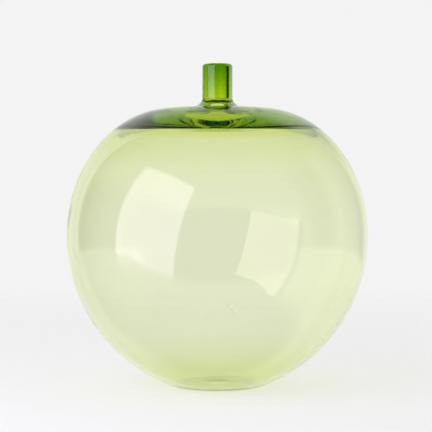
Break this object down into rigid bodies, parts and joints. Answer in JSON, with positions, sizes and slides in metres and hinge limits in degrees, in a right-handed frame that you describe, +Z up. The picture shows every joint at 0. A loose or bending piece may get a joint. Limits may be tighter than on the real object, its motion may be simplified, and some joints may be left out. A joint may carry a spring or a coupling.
{
  "type": "glass apple ornament",
  "caption": "Hollow blown glass apple on a ground flat foot, pale green with a heavy deep green crown and a short tubular stem that opens into the bubble.",
  "frame": {"origin": "centre of the ground foot, on the surface that the apple stands on", "axes": "+Z up along the axis that the glass was turned about, through the bore of the stem"},
  "size_m": [0.3299, 0.33, 0.354],
  "materials": {
    "clear_glass": "fire polished",
    "pale_green_glass": "fire polished",
    "leaf_green_glass": "fire polished",
    "deep_green_glass": "fire polished"
  },
  "bodies": {
    "root": {"clear_casing": "clear_glass", "colour_bubble": "pale_green_glass", "crown_gather": "leaf_green_glass", "stem": "deep_green_glass", "punty_seal": "clear_glass"}
  },
  "joints": []
}
